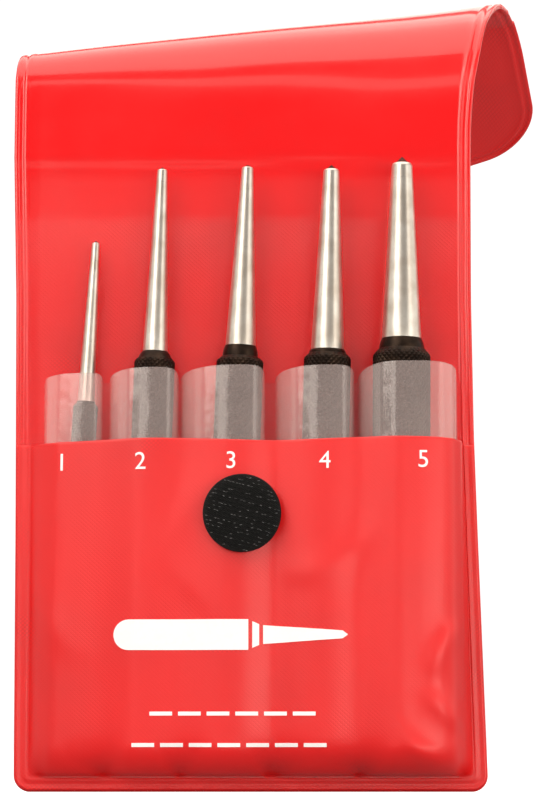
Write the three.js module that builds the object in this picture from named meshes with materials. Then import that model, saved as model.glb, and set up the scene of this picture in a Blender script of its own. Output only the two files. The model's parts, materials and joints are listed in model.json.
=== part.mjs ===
// Five centre punches in a flat vinyl pouch whose flap is rolled back behind the top.
// Millimetres, +Z up, front towards -Y. The origin is the middle of the pouch's flat back.
import * as THREE from 'three';

// Pouch
const POUCH_WIDTH = 99;
const BODY_HEIGHT = 133.6;
const BOTTOM_CORNER_R = 2.4;
const PLY = 0.45;            // one vinyl sheet
const PLY_GAP = 0.1;         // between stacked sheets
const SHEET = 2 * PLY + PLY_GAP;
const DISC_R = 8;            // touch fastener, 5/8 inch
const HOOK_THICK = 1.1;
const LOOP_THICK = 0.9;
const DISC_X = -1.7;
const DISC_Z = 56.35;

// Flap: two creases, then a roll made of narrow strips on slanted hinge lines
const SPINE_DEPTH = 16;
const FLAP_LENGTH = 87;
const FLAP_CORNER_R = 13;
const CREASE_GAP = 0.6;      // clear on each side of a crease line
const ROLL_GAP = 0.2;        // clear on each side of a roll line
const ROLL_COUNT = 5;
const ROLL_START = 9;        // first roll line, measured from the second crease at mid width
const ROLL_PITCH = 5.6;
const ROLL_SLANT = THREE.MathUtils.degToRad(6.3);   // of the first roll line
const ROLL_FAN = THREE.MathUtils.degToRad(2.2);     // each later line slants this much more
const SPINE_REST = THREE.MathUtils.degToRad(4);
const FLAP_REST = THREE.MathUtils.degToRad(9);
const ROLL_REST = THREE.MathUtils.degToRad(23);

// Pockets
const POCKET_PLY = 0.3;
const POCKET_HALF_WIDTH = 44.6;
const POCKET_WELDS = [-43.3, -30.2, -14.9, 4.0, 21.9, 43.0];
const WELD_HALF = 0.5;
const POCKET_CLEARANCE = 0.25;
const POCKET_TOP = 84.6;
const POCKET_EDGE_RISE = 0.2;   // the cut edge climbs this much for each mm of bulge
const PANEL_PLY = 0.5;
const PANEL_HALF_WIDTH = 47;
const PANEL_GAP = 0.55;
const PANEL_TOP = 72.6;
const PANEL_SAMPLES = 70;
const FLOOR_ROWS = [2.6, 3.8, 5.6, 7.8, 9.8];   // heights where the pockets open out
const QUARTER_STEPS = 7;
const WIDE_SIDE_POWER = 2.4;
const TIGHT_SIDE_POWER = 4;

// Punches, from small to large. The tip stands at (x, z) and the axis leans to the right.
const PUNCH_SEGMENTS = 24;
const HEAD_CHAMFER = 1.4;
const PUNCHES = [
  { x: -32.55, z: 114.5, lean: 3.03, length: 104, tipR: 0.8, tipLen: 0.5, taperLen: 33.6,
    baseR: 1.8, collarR: 1.8, collarLen: 0.3, bevelLen: 0.9, bodyR: 2.65 },
  { x: -18.6, z: 129.9, lean: 1.93, length: 120, tipR: 1.05, tipLen: 0.55, taperLen: 38.6,
    baseR: 2.55, collarR: 3.4, collarLen: 1.4, bevelLen: 1.0, bodyR: 4.3 },
  { x: -0.67, z: 130.3, lean: 2.15, length: 120, tipR: 1.2, tipLen: 0.6, taperLen: 37.9,
    baseR: 3.15, collarR: 3.65, collarLen: 2.3, bevelLen: 1.2, bodyR: 4.95 },
  { x: 16.95, z: 130.3, lean: 1.4, length: 120, tipR: 1.65, tipLen: 1.1, taperLen: 38.2,
    baseR: 3.45, collarR: 3.8, collarLen: 0.8, bevelLen: 1.3, bodyR: 4.95 },
  { x: 31.7, z: 131.8, lean: 0.52, length: 120, tipR: 2.15, tipLen: 1.6, taperLen: 37.0,
    baseR: 4.05, collarR: 4.65, collarLen: 2.2, bevelLen: 1.8, bodyR: 6.05 },
];

function standard(color, roughness, metalness) {
  return new THREE.MeshStandardMaterial({ color, roughness, metalness });
}

const RED_VINYL = { color: 0xec2421, roughness: 0.35, metalness: 0 };
const BLACK_STEEL = { color: 0x2a1f1a, roughness: 0.45, metalness: 0.8 };

function namedMesh(name, geometry, { color, roughness, metalness }) {
  const mesh = new THREE.Mesh(geometry, standard(color, roughness, metalness));
  mesh.name = name;
  return mesh;
}

// Distance in front of the lining of the top of a pocket that holds a punch of this radius.
function pocketHeight(punch) {
  return 2 * (punch.bodyR + POCKET_CLEARANCE);
}

function axisX(punch, z) {
  return punch.x - (punch.z - z) * Math.tan(THREE.MathUtils.degToRad(punch.lean));
}

// ---- Flat sheets -------------------------------------------------------------------------

// An upright plate from an outline in (x, z). It reaches from y = back to y = back - thickness.
function plate(outline, back, thickness) {
  const shape = new THREE.Shape(outline);
  const geometry = new THREE.ExtrudeGeometry(shape, { depth: thickness, bevelEnabled: false });
  geometry.rotateX(Math.PI / 2);
  geometry.translate(0, back, 0);
  return geometry;
}

function cornerArc(centreX, centreZ, radius, startAngle, steps = 6) {
  return Array.from({ length: steps + 1 }, (_, i) => {
    const angle = startAngle + (i / steps) * (Math.PI / 2);
    return new THREE.Vector2(centreX + radius * Math.cos(angle), centreZ + radius * Math.sin(angle));
  });
}

function bodyOutline() {
  const half = POUCH_WIDTH / 2;
  const inset = half - BOTTOM_CORNER_R;
  const top = BODY_HEIGHT - CREASE_GAP;
  return [
    ...cornerArc(-inset, BOTTOM_CORNER_R, BOTTOM_CORNER_R, Math.PI),
    ...cornerArc(inset, BOTTOM_CORNER_R, BOTTOM_CORNER_R, -Math.PI / 2),
    new THREE.Vector2(half, top),
    new THREE.Vector2(-half, top),
  ];
}

function spineOutline() {
  const half = POUCH_WIDTH / 2;
  return [
    new THREE.Vector2(-half, CREASE_GAP),
    new THREE.Vector2(half, CREASE_GAP),
    new THREE.Vector2(half, SPINE_DEPTH - CREASE_GAP),
    new THREE.Vector2(-half, SPINE_DEPTH - CREASE_GAP),
  ];
}

// The whole flap laid flat: its length runs along the second coordinate from the second crease.
function flapOutline() {
  const half = POUCH_WIDTH / 2;
  const inset = half - FLAP_CORNER_R;
  const cornerZ = FLAP_LENGTH - FLAP_CORNER_R;
  return [
    new THREE.Vector2(-half, CREASE_GAP),
    new THREE.Vector2(half, CREASE_GAP),
    ...cornerArc(inset, cornerZ, FLAP_CORNER_R, 0),
    ...cornerArc(-inset, cornerZ, FLAP_CORNER_R, Math.PI / 2),
  ];
}

// Roll line number i crosses the flat flap's middle at start and climbs to the right by slant.
function rollLine(i) {
  return { start: ROLL_START + i * ROLL_PITCH, slant: ROLL_SLANT + i * ROLL_FAN };
}

// Signed distance of a point of the flat flap beyond roll line number i.
function beyondRollLine(i, point) {
  const { start, slant } = rollLine(i);
  return (point.y - start) * Math.cos(slant) - point.x * Math.sin(slant);
}

// The part of a convex outline where the distance function is not negative.
function clipOutline(outline, distance) {
  const kept = [];
  outline.forEach((point, i) => {
    const next = outline[(i + 1) % outline.length];
    const here = distance(point);
    const there = distance(next);
    if (here >= 0) kept.push(point);
    if (here * there < 0) kept.push(point.clone().lerp(next, here / (here - there)));
  });
  return kept;
}

// Flap strip between roll line first - 1 and roll line first.
function stripOutline(first) {
  let outline = flapOutline();
  if (first > 0) {
    outline = clipOutline(outline, (point) => beyondRollLine(first - 1, point) - ROLL_GAP);
  }
  if (first < ROLL_COUNT) {
    outline = clipOutline(outline, (point) => -beyondRollLine(first, point) - ROLL_GAP);
  }
  return outline;
}

// Cover and lining of one stretch of sheet whose middle plane is y = 0.
function sheetPlies(name, outline) {
  return [
    namedMesh(`${name}_cover`, plate(outline, SHEET / 2, PLY), RED_VINYL),
    namedMesh(`${name}_lining`, plate(outline, -PLY_GAP / 2, PLY), RED_VINYL),
  ];
}

// ---- Curved pocket sheets ----------------------------------------------------------------

// Rows of matching inner and outer paths, joined into one closed sheet.
function loftSheet(rows) {
  const count = rows[0].inner.length;
  const positions = [];
  for (const row of rows) {
    for (const [x, y, z] of [...row.outer, ...row.inner]) positions.push(x, y, z);
  }
  const indices = [];
  const quad = (a, b, c, d) => indices.push(a, b, c, a, c, d);
  const outer = (row, i) => row * 2 * count + i;
  const inner = (row, i) => row * 2 * count + count + i;
  for (let row = 0; row < rows.length - 1; row += 1) {
    for (let i = 0; i < count - 1; i += 1) {
      quad(outer(row, i), outer(row, i + 1), outer(row + 1, i + 1), outer(row + 1, i));
      quad(inner(row, i), inner(row + 1, i), inner(row + 1, i + 1), inner(row, i + 1));
    }
    const end = count - 1;
    quad(outer(row, 0), outer(row + 1, 0), inner(row + 1, 0), inner(row, 0));
    quad(outer(row, end), inner(row, end), inner(row + 1, end), outer(row + 1, end));
  }
  const top = rows.length - 1;
  for (let i = 0; i < count - 1; i += 1) {
    quad(outer(0, i), inner(0, i), inner(0, i + 1), outer(0, i + 1));
    quad(outer(top, i), outer(top, i + 1), inner(top, i + 1), inner(top, i));
  }
  const geometry = new THREE.BufferGeometry();
  geometry.setAttribute('position', new THREE.Float32BufferAttribute(positions, 3));
  geometry.setIndex(indices);
  geometry.computeVertexNormals();
  return geometry;
}

// How far the pockets have opened at height z: 0 at the bottom weld, 1 from the punch heads up.
function opening(z) {
  const first = FLOOR_ROWS[0];
  const last = FLOOR_ROWS[FLOOR_ROWS.length - 1];
  const below = Math.max(0, (last - z) / (last - first));
  return Math.sqrt(Math.max(0, 1 - below * below));
}

// The pocket sheet's section at height z as [x, distance in front of the lining] points.
// The inner surface has grow = 0, and the outer one has grow = the sheet's thickness.
function pocketPath(z, grow) {
  const base = PLY_GAP + grow;
  const path = [[-POCKET_HALF_WIDTH, base]];
  PUNCHES.forEach((punch, i) => {
    const centre = axisX(punch, z);
    const left = centre - (POCKET_WELDS[i] + WELD_HALF - grow);
    const right = POCKET_WELDS[i + 1] - WELD_HALF + grow - centre;
    const rise = (pocketHeight(punch) - PLY_GAP) * opening(z);
    for (let step = 0; step <= 2 * QUARTER_STEPS; step += 1) {
      const angle = (step / QUARTER_STEPS) * (Math.PI / 2);
      const onLeft = step < QUARTER_STEPS;
      const power = onLeft ? WIDE_SIDE_POWER : TIGHT_SIDE_POWER;
      const across = Math.abs(Math.cos(angle)) ** (2 / power);
      const up = Math.max(0, Math.sin(angle)) ** (2 / power);
      path.push([centre + (onLeft ? -left : right) * across, base + rise * up]);
    }
  });
  path.push([POCKET_HALF_WIDTH, base]);
  return path;
}

// Upper convex hull of points ordered by x.
function upperHull(points) {
  const hull = [];
  for (const point of points) {
    while (hull.length > 1) {
      const [ax, ah] = hull[hull.length - 2];
      const [bx, bh] = hull[hull.length - 1];
      if ((bx - ax) * (point[1] - ah) - (bh - ah) * (point[0] - ax) < 0) break;
      hull.pop();
    }
    hull.push(point);
  }
  return hull;
}

function heightOn(hull, x) {
  const next = hull.findIndex((point) => point[0] >= x);
  if (next <= 0) return hull[Math.max(0, next)][1];
  const [ax, ah] = hull[next - 1];
  const [bx, bh] = hull[next];
  return ah + ((bh - ah) * (x - ax)) / (bx - ax);
}

// The front panel's inner surface: a sheet stretched over the filled pockets.
function panelPath(z, grow) {
  const weld = 2 * PLY_GAP + POCKET_PLY;
  const edge = POCKET_HALF_WIDTH + PANEL_GAP;
  const over = pocketPath(z, POCKET_PLY)
    .flatMap(([x, height]) => {
      const lifted = height + PANEL_GAP * Math.sqrt(opening(z));
      return [[x - PANEL_GAP / 2, lifted], [x + PANEL_GAP / 2, lifted]];
    })
    .sort((a, b) => a[0] - b[0]);
  const hull = upperHull([[-edge, weld], ...over, [edge, weld]]);
  return Array.from({ length: PANEL_SAMPLES + 1 }, (_, i) => {
    const x = -PANEL_HALF_WIDTH + (i / PANEL_SAMPLES) * 2 * PANEL_HALF_WIDTH;
    const height = Math.abs(x) > edge ? weld : Math.max(weld, heightOn(hull, x));
    return [x, height + grow];
  });
}

function sheetRow(path, z, thickness, edgeRise) {
  const place = ([x, height]) => [x, -SHEET - height, z + edgeRise * height];
  return { outer: path(z, thickness).map(place), inner: path(z, 0).map(place) };
}

function pocketSheet() {
  const rows = [...FLOOR_ROWS, PANEL_TOP].map((z) => sheetRow(pocketPath, z, POCKET_PLY, 0));
  rows.push(sheetRow(pocketPath, POCKET_TOP, POCKET_PLY, POCKET_EDGE_RISE));
  const clear = { color: 0xf0dada, roughness: 0.2, metalness: 0 };
  return namedMesh('pocket_sheet', loftSheet(rows), clear);
}

function frontPanel() {
  const rows = [...FLOOR_ROWS, DISC_Z].map((z) => sheetRow(panelPath, z, PANEL_PLY, 0));
  rows.push(sheetRow(panelPath, PANEL_TOP, PANEL_PLY, POCKET_EDGE_RISE / 2));
  return namedMesh('front_panel', loftSheet(rows), RED_VINYL);
}

// ---- Fastener discs ----------------------------------------------------------------------

// Front of the front panel where it is highest under the hook disc.
function discSeat() {
  const heights = panelPath(DISC_Z, PANEL_PLY)
    .filter(([x]) => Math.abs(x - DISC_X) < DISC_R + 1)
    .map(([, height]) => height);
  return -SHEET - Math.max(...heights);
}

function fastenerDisc(name, thickness) {
  const geometry = new THREE.CylinderGeometry(DISC_R, DISC_R, thickness, 40);
  return namedMesh(name, geometry, { color: 0x1c1a1b, roughness: 0.9, metalness: 0 });
}

// ---- Punches -----------------------------------------------------------------------------

// A one-piece punch with its point at the origin, hanging down along -Z.
function punchMesh(punch, number) {
  const collarStart = punch.tipLen + punch.taperLen;
  const bevelStart = collarStart + punch.collarLen;
  const profile = [
    [0, 0],
    [punch.tipR, punch.tipLen],
    [punch.baseR, collarStart],
    [punch.collarR, bevelStart],
    [punch.bodyR, bevelStart + punch.bevelLen],
    [punch.bodyR, punch.length - HEAD_CHAMFER],
    [punch.bodyR * 0.8, punch.length],
    [0, punch.length],
  ];
  const points = profile.map(([radius, down]) => new THREE.Vector2(radius, -down)).reverse();
  const geometry = new THREE.LatheGeometry(points, PUNCH_SEGMENTS);
  geometry.rotateX(Math.PI / 2);
  const mesh = namedMesh(`punch_${number}`, geometry, BLACK_STEEL);
  mesh.position.set(punch.x, -SHEET - POCKET_CLEARANCE - punch.bodyR, punch.z);
  mesh.rotation.y = THREE.MathUtils.degToRad(punch.lean);
  return mesh;
}

// ---- Assembly ----------------------------------------------------------------------------

const pouch = new THREE.Group();
pouch.position.z = -BODY_HEIGHT / 2;
pouch.add(namedMesh('back_cover', plate(bodyOutline(), 0, PLY), RED_VINYL));
pouch.add(namedMesh('back_lining', plate(bodyOutline(), -PLY - PLY_GAP, PLY), RED_VINYL));
pouch.add(pocketSheet(), frontPanel());
PUNCHES.forEach((punch, i) => pouch.add(punchMesh(punch, i + 1)));

const hookDisc = fastenerDisc('hook_disc', HOOK_THICK);
hookDisc.position.set(DISC_X, discSeat() - PLY_GAP - HOOK_THICK / 2, DISC_Z);
pouch.add(hookDisc);

const spine = new THREE.Group();
spine.position.set(0, -SHEET / 2, BODY_HEIGHT);
spine.rotation.x = -SPINE_REST;
spine.add(...sheetPlies('spine', spineOutline()));
pouch.add(spine);

const flapRoot = new THREE.Group();
flapRoot.position.z = SPINE_DEPTH;
flapRoot.rotation.x = -FLAP_REST;
flapRoot.add(...sheetPlies('flap_root', stripOutline(0)));
spine.add(flapRoot);

// Each roll line turns everything beyond it about the slanted line through (0, 0, start).
let sheet = flapRoot;
for (let i = 0; i < ROLL_COUNT; i += 1) {
  const { start, slant } = rollLine(i);
  const line = new THREE.Vector3(-Math.cos(slant), 0, -Math.sin(slant));
  const hinge = new THREE.Group();
  hinge.position.z = start;
  hinge.quaternion.setFromAxisAngle(line, ROLL_REST);
  sheet.add(hinge);
  const turned = new THREE.Group();
  turned.position.z = -start;
  hinge.add(turned);
  const name = i < ROLL_COUNT - 1 ? `roll_${i + 1}` : 'flap_tail';
  turned.add(...sheetPlies(name, stripOutline(i + 1)));
  sheet = turned;
}

// The loop disc meets the hook disc when the flap lies flat over the front.
const loopDisc = fastenerDisc('loop_disc', LOOP_THICK);
loopDisc.position.set(DISC_X, -SHEET / 2 - PLY_GAP - LOOP_THICK / 2, BODY_HEIGHT - DISC_Z);
sheet.add(loopDisc);

const group = new THREE.Group();
group.add(pouch);

export default group;
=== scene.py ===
"""Five graded centre punches standing in a red vinyl pouch with its flap rolled back.

Lengths here are millimetres in the pouch's own axes (x across, y depth, z up from the bottom
weld) and are turned into the frame's metres when a mesh is made.
"""
import json
import math
import random

import bmesh
import bpy
import numpy as np
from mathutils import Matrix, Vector


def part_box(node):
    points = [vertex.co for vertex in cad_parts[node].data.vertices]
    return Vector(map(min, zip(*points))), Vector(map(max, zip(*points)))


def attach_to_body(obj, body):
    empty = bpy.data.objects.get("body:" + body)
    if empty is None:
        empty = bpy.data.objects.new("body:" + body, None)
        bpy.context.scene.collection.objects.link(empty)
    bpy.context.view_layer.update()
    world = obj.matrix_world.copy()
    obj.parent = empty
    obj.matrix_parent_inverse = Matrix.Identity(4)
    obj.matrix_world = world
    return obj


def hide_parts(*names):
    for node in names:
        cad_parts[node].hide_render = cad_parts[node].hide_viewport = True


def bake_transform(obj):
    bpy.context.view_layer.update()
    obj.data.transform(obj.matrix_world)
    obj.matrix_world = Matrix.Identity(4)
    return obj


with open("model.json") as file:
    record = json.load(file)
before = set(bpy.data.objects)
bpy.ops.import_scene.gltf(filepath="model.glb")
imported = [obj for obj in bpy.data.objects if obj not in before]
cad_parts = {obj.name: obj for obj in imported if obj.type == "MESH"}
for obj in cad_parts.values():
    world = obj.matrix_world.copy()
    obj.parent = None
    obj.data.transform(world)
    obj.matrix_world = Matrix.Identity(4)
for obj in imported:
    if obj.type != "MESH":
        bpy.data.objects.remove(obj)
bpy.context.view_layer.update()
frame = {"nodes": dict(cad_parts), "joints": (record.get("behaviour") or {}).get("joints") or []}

MM = 0.001
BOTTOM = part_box("back_cover")[0].z / MM
HALF_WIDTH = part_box("back_cover")[1].x / MM
LINING_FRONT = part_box("back_lining")[0].y / MM
JOINTS = {joint["name"]: joint for joint in frame["joints"]}
RANDOM = random.Random(4)

# Sheet
HALF_SHEET = -LINING_FRONT / 2
BODY_CORNER_R = 3.4
FLAP_CORNER_R = 13.0
FLAP_LENGTH = 87.0           # from the second crease to the free end
RIM_STEPS = [0, 0.08, 0.25, 0.55, 0.8, 0.95, 1.15, 1.6, 1.85, 2.0, 2.2, 2.5, 2.75, 3.0, 3.2]
SHEET_COLUMNS = 46
CREASES = 2                  # the first fold lines are creases, and the rest are roll lines
CREASE_REACH = 5.0           # a crease is soft over this much on each side
BODY_BAND = 9.0              # the body's last stretch below the first crease bends with it

# Pockets
WELD_LINES = [-43.3, -30.2, -14.9, 4.0, 21.9, 43.0]
WELD_HALF = [0.5, 1.0, 0.45, 1.35, 0.7, 0.5]   # half widths of those welds
POCKET_PLY = 0.3
POCKET_HALF_WIDTH = 43.2
POCKET_CLEARANCE = 0.25
POCKET_TOP = 84.6
POCKET_FLOOR = 2.6
POCKET_FULL = 9.8            # from here up the pockets are fully open
LINING_GAP = 0.1
ARCH_STEPS = 14              # points on each side of a sleeve's arch

# Front panel
PANEL_PLY = 0.5
PANEL_INSET = 0.25           # between the panel's sides and the edges of the cover
PANEL_BOTTOM = 0.35
PANEL_TOP_DROP = 2.2         # the vinyl's top edge is this far below the CAD panel's
PANEL_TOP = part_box("front_panel")[1].z / MM - BOTTOM - PANEL_TOP_DROP
PANEL_WELD = 3.3             # width of the flat weld along the sides and the bottom
WELD_HEIGHT = 0.55
PANEL_COLUMNS = 199
PANEL_ROWS = 150

DISC_R = 8.0


# ---- Materials ----

GRAIN_PITCH = 0.00062        # metres between the lines of the embossed grain
GRAIN_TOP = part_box("back_lining")[1].z - 0.0115    # the lining's grain fades out here
PAPER_GLOW = 0.08            # how strongly the paper and the sky light the object
SKY_GLOW = 0.16
RING_PITCH = 0.00012         # of the fine rings on the ground tapers, in metres


class Nodes:
    """Short calls for building one material's node tree."""

    def __init__(self, name):
        self.material = bpy.data.materials.new(name)
        self.material.use_nodes = True
        self.tree = self.material.node_tree
        self.surface = self.tree.nodes["Principled BSDF"]
        self.output = self.tree.nodes["Material Output"]
        self.place = self.add("ShaderNodeNewGeometry").outputs["Position"]

    def add(self, kind, **inputs):
        node = self.tree.nodes.new(kind)
        for key, value in inputs.items():
            self.feed(node.inputs[key.replace("_", " ")], value)
        return node

    def feed(self, socket, value):
        if isinstance(value, bpy.types.NodeSocket):
            self.tree.links.new(value, socket)
        else:
            socket.default_value = value

    def set(self, **inputs):
        for key, value in inputs.items():
            self.feed(self.surface.inputs[key.replace("_", " ")], value)

    def noise(self, size, detail=3.0, vector=None):
        node = self.add("ShaderNodeTexNoise", Scale=1 / size, Detail=detail)
        self.feed(node.inputs["Vector"], self.place if vector is None else vector)
        return node.outputs["Fac"]

    def waves(self, period, direction, distortion=0.0):
        """Straight waves of the given period along a direction in the frame."""
        dot = self.add("ShaderNodeVectorMath")
        dot.operation = "DOT_PRODUCT"
        self.feed(dot.inputs[0], self.place)
        dot.inputs[1].default_value = Vector(direction).normalized()
        turned = self.math("MULTIPLY", dot.outputs["Value"], 2 * math.pi / period)
        if distortion:
            wobble = self.math("MULTIPLY", self.noise(period * 6), distortion)
            turned = self.math("ADD", turned, wobble)
        return self.math("SINE", turned)

    def groove(self, pitch, direction):
        """Narrow lines a pitch apart: 1 on each line, falling quickly to 0 beside it."""
        wave = self.waves(2 * pitch, direction, distortion=0.8)
        beside = self.math("ABSOLUTE", wave)
        return self.math("POWER", self.math("SUBTRACT", 1.0, beside), 2.5)

    def math(self, operation, a, b=0.0):
        node = self.add("ShaderNodeMath")
        node.operation = operation
        self.feed(node.inputs[0], a)
        self.feed(node.inputs[1], b)
        return node.outputs[0]

    def mix(self, share, first, second):
        """One shader with this share of another over it."""
        node = self.add("ShaderNodeMixShader", Fac=share)
        self.feed(node.inputs[1], first)
        self.feed(node.inputs[2], second)
        return node.outputs[0]

    def part_of_place(self, letter):
        return self.add("ShaderNodeSeparateXYZ", Vector=self.place).outputs[letter]

    def ramp(self, value, *stops):
        """A colour read off a ramp with these (place, colour) stops."""
        node = self.add("ShaderNodeValToRGB", Fac=value)
        ramp = node.color_ramp
        while len(ramp.elements) < len(stops):
            ramp.elements.new(0.5)
        for element, (place, color) in zip(ramp.elements, stops):
            element.position = place
            element.color = color
        return node.outputs["Color"]

    def remap(self, value, low, high, start=0.0, end=1.0):
        """low to high as the value goes from start to end."""
        return self.add(
            "ShaderNodeMapRange", Value=value, From_Min=start, From_Max=end,
            To_Min=low, To_Max=high).outputs["Result"]

    def bump(self, height, distance, strength=1.0, below=None):
        node = self.add("ShaderNodeBump", Height=height, Distance=distance, Strength=strength)
        if below is not None:
            self.feed(node.inputs["Normal"], below)
        self.feed(self.surface.inputs["Normal"], node.outputs["Normal"])
        return node.outputs["Normal"]


def srgb(red, green, blue):
    """A linear colour from 0-255 screen values."""
    def linear(value):
        value /= 255
        return value / 12.92 if value <= 0.04045 else ((value + 0.055) / 1.055) ** 2.4
    return (linear(red), linear(green), linear(blue), 1.0)


# painted shade: the darker red that the grooves of the grain are coloured with
GROOVE_SHADE_RED = srgb(186, 6, 9)


def red_vinyl(name, base, deep, roughness, coat, emboss, smooth_above=None):
    """Soft vinyl: even red with slow clouding, a fine embossed grain of slanted lines, and painted
    shade that darkens the colour along the grooves.

    Above the height smooth_above (metres in the frame) the grain has been stretched nearly flat.
    """
    nodes = Nodes(name)
    cloud = nodes.noise(0.035, 2.0)
    grained = 1.0
    if smooth_above is not None:
        grained = nodes.remap(
            nodes.part_of_place("Z"), 1.0, 0.06, smooth_above - 0.003, smooth_above + 0.001)
    grooves = nodes.math(
        "MAXIMUM", nodes.groove(GRAIN_PITCH, (1, 0, 1.1)), nodes.groove(GRAIN_PITCH, (1, 0, -1.1)))
    # painted shade: the colour is darkened along the grooves, where shading would fall
    painted_groove_shade = nodes.math("MULTIPLY", nodes.math("MULTIPLY", grooves, grained), 0.3)
    tone = nodes.math("SUBTRACT", cloud, painted_groove_shade)
    color = nodes.ramp(tone, (0.0, GROOVE_SHADE_RED), (0.3, deep), (0.7, base))
    nodes.set(Base_Color=color, Specular_IOR_Level=0.5)
    nodes.set(Roughness=nodes.remap(nodes.noise(0.006, 4.0), roughness - 0.04, roughness + 0.06))
    nodes.set(Coat_Weight=coat[0], Coat_Roughness=coat[1])
    weave = nodes.math("MULTIPLY", grooves, -1.0)
    soft = nodes.bump(nodes.noise(0.011, 1.0), 0.0009, 0.12)
    nodes.bump(weave, 0.00003, nodes.math("MULTIPLY", grained, emboss), soft)
    return nodes.material


def clear_vinyl():
    """Clear sheet: what is behind shows through a little milk, under a glossy skin."""
    nodes = Nodes("clear_vinyl")
    facing = nodes.add("ShaderNodeLayerWeight", Blend=0.5).outputs["Facing"]
    milk = nodes.math(
        "ADD", nodes.remap(facing, 0.12, 0.24), nodes.remap(nodes.noise(0.012, 3.0), -0.02, 0.02))
    shade = nodes.add("ShaderNodeLightPath").outputs["Is Shadow Ray"]
    milk = nodes.math("ADD", milk, nodes.remap(nodes.noise(0.0005, 2.0), -0.05, 0.05))
    off_lining = nodes.remap(
        nodes.part_of_place("Y"), 1.0, 0.1, (LINING_FRONT - 2.0) * MM, (LINING_FRONT - 0.6) * MM)
    milk = nodes.math("MULTIPLY", milk, off_lining)
    milk = nodes.math("MULTIPLY", milk, nodes.remap(shade, 1.0, 0.0))
    nodes.set(Base_Color=srgb(250, 232, 229), Specular_IOR_Level=0.3)
    nodes.set(Roughness=nodes.remap(nodes.noise(0.004, 4.0), 0.2, 0.34))
    soft = nodes.bump(nodes.noise(0.006, 3.0), 0.0005, 0.25)
    clear = nodes.add("ShaderNodeBsdfTransparent", Color=srgb(255, 250, 250)).outputs[0]
    body = nodes.mix(milk, clear, nodes.surface.outputs["BSDF"])
    gloss = nodes.add("ShaderNodeBsdfGlossy", Roughness=0.13, Normal=soft).outputs[0]
    shine = nodes.add("ShaderNodeFresnel", IOR=1.5, Normal=soft).outputs[0]
    shine = nodes.math("MULTIPLY", nodes.math("MINIMUM", shine, 0.09), nodes.remap(shade, 1.0, 0.0))
    nodes.feed(nodes.output.inputs["Surface"], nodes.mix(shine, body, gloss))
    return nodes.material


def ground_steel():
    """Ground taper: bright satin steel with fine level rings and warm stains."""
    nodes = Nodes("ground_steel")
    stain = nodes.noise(0.004, 5.0)
    color = nodes.ramp(stain, (0.3, srgb(196, 184, 172)), (0.7, srgb(226, 220, 212)))
    flattened = nodes.add("ShaderNodeMapping", Vector=nodes.place, Scale=(50, 50, 1 / RING_PITCH))
    rings = nodes.noise(1.0, 4.0, flattened.outputs["Vector"])
    nodes.set(Base_Color=color, Metallic=0.96, Anisotropic=0.5)
    nodes.set(Roughness=nodes.remap(rings, 0.24, 0.36))
    nodes.bump(rings, 0.00001, 0.25)
    return nodes.material


def black_steel():
    """Black oxide, rubbed to a dark brown here and there."""
    nodes = Nodes("black_oxide_steel")
    rubbed = nodes.noise(0.0025, 6.0)
    color = nodes.ramp(rubbed, (0.42, srgb(33, 22, 16)), (0.64, srgb(52, 38, 29)))
    nodes.set(Base_Color=color, Metallic=0.85)
    nodes.set(Roughness=nodes.remap(nodes.noise(0.001, 4.0), 0.28, 0.5))
    nodes.bump(nodes.noise(0.0004, 5.0), 0.00003, 0.6)
    return nodes.material


def point_steel():
    """The dark hardened point."""
    nodes = Nodes("point_steel")
    temper = nodes.noise(0.001, 4.0)
    nodes.set(Base_Color=nodes.ramp(temper, (0.35, srgb(34, 14, 10)), (0.75, srgb(92, 58, 42))))
    nodes.set(Metallic=0.9, Roughness=nodes.remap(temper, 0.25, 0.45))
    nodes.bump(nodes.noise(0.0003, 4.0), 0.00002, 0.5)
    return nodes.material


def tape(name, color, painted_glint):
    """Black woven nylon of the touch fastener, with lighter flecks painted on as glints."""
    nodes = Nodes(name)
    shade = nodes.ramp(nodes.noise(0.0006, 4.0), (0.45, color), (0.8, painted_glint))
    nodes.set(Base_Color=shade, Roughness=nodes.remap(nodes.noise(0.001, 2.0), 0.5, 0.7))
    nodes.set(Specular_IOR_Level=0.25)
    warp = nodes.waves(0.0005, (1, 0, 0.2))
    weft = nodes.waves(0.0005, (-0.2, 0, 1))
    nodes.bump(nodes.math("MULTIPLY", warp, weft), 0.0001, 0.7)
    return nodes.material


def white_ink():
    """Screen-printed ink: slightly uneven, with a faint tooth."""
    nodes = Nodes("white_ink")
    cover = nodes.noise(0.0012, 5.0)
    nodes.set(Base_Color=nodes.ramp(cover, (0.25, srgb(249, 246, 250)), (0.5, srgb(253, 253, 255))))
    nodes.set(Roughness=nodes.remap(cover, 0.42, 0.6))
    nodes.bump(nodes.noise(0.0006, 3.0), 0.00002, 0.3)
    return nodes.material


def studio_paper():
    """Pale seamless paper, lit so that it stays white behind the object."""
    nodes = Nodes("studio_paper")
    tooth = nodes.noise(0.002, 3.0)
    nodes.set(Base_Color=nodes.ramp(tooth, (0.3, srgb(132, 132, 132)), (0.7, srgb(140, 140, 140))))
    seen = nodes.add("ShaderNodeLightPath").outputs["Is Camera Ray"]
    glow = nodes.remap(seen, PAPER_GLOW, 1.0)
    nodes.set(Roughness=0.9, Emission_Color=(1, 1, 1, 1), Emission_Strength=glow)
    nodes.bump(tooth, 0.00005, 0.2)
    return nodes.material


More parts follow.
